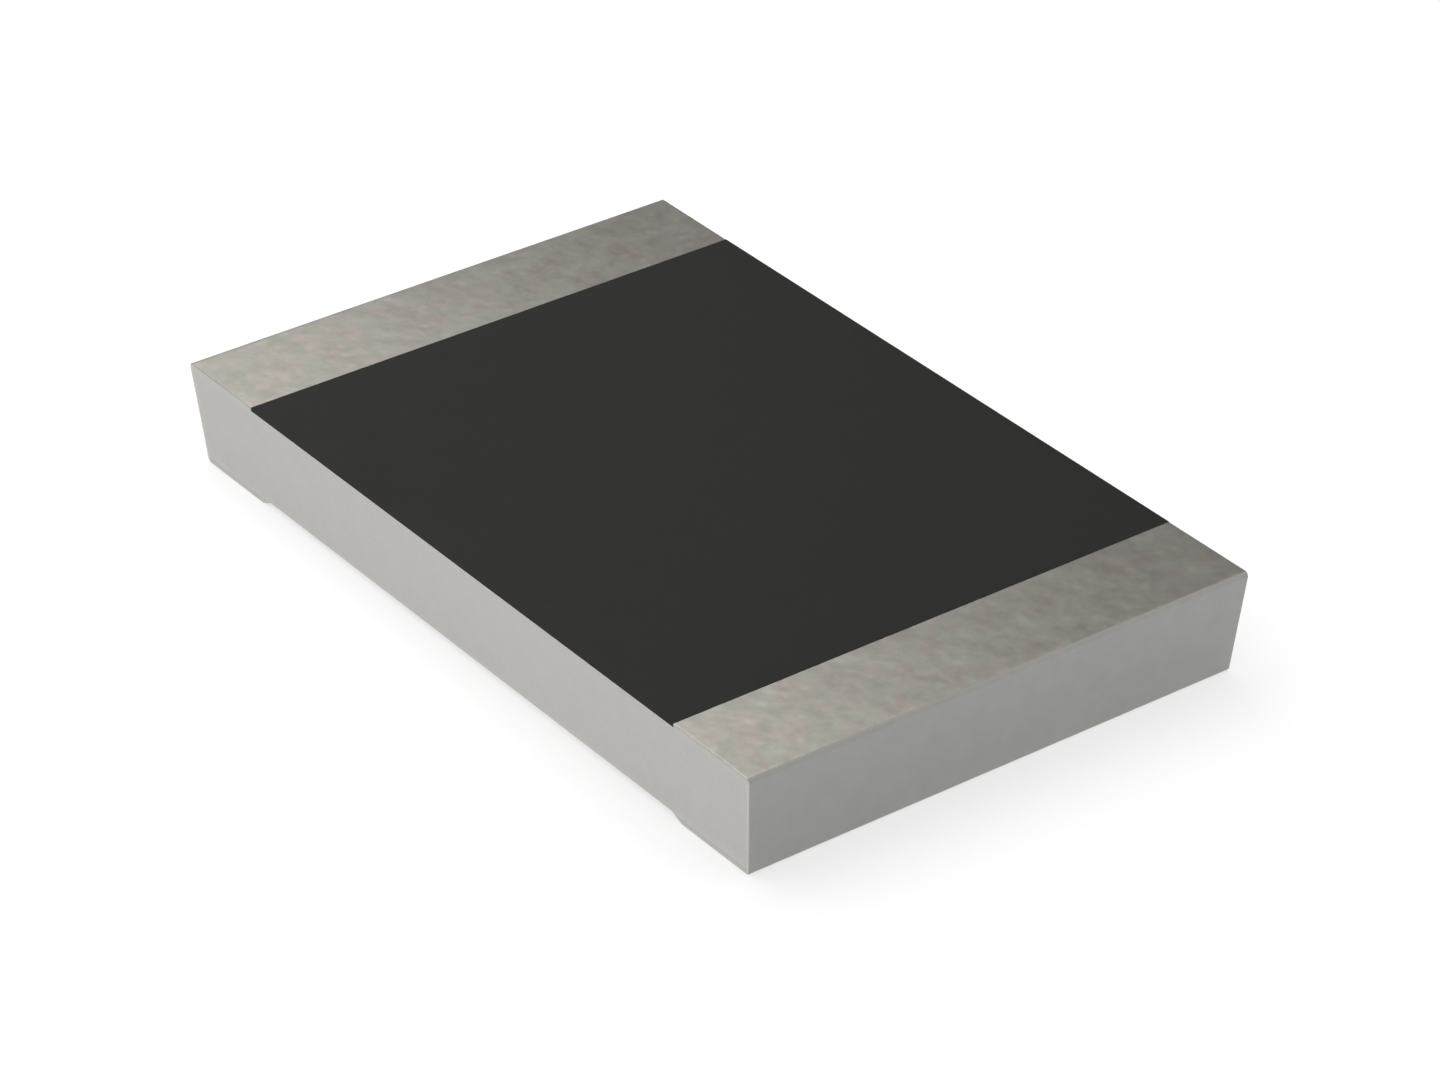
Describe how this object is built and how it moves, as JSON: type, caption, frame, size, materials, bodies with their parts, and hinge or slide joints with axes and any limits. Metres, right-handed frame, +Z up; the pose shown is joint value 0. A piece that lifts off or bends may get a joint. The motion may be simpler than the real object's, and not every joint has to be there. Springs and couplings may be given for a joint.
{
  "type": "smd chip resistor",
  "caption": "Flat rectangular thick film chip resistor: ceramic body, dark protective coat on top and tinned wrap-around solder terminals at its ends.",
  "frame": {"origin": "centre of the solder plane, under the middle of the chip", "axes": "+X along the length to the right terminal, +Y across the width, +Z up from the solder plane to the dark coat"},
  "size_m": [0.0046, 0.0028, 0.0006],
  "materials": {
    "alumina": "matte, fine grained",
    "silver_paste": "matte fired metal",
    "nickel_chrome": "thin satin metal",
    "nickel": "satin metal",
    "tin": "matte plated metal",
    "resistor_film": "matte fired film",
    "glass_glaze": "glossy fired glaze",
    "overcoat": "satin cured resin"
  },
  "bodies": {
    "root": {"ceramic_substrate": "alumina", "back_electrode_left": "silver_paste", "back_electrode_right": "silver_paste", "top_electrode_left": "silver_paste", "top_electrode_right": "silver_paste", "resistive_film": "resistor_film", "glass_coat": "glass_glaze", "overcoat": "overcoat", "end_electrode_left": "nickel_chrome", "end_electrode_right": "nickel_chrome", "nickel_barrier_left": "nickel", "nickel_barrier_right": "nickel", "tin_plating_left": "tin", "tin_plating_right": "tin"}
  },
  "joints": []
}
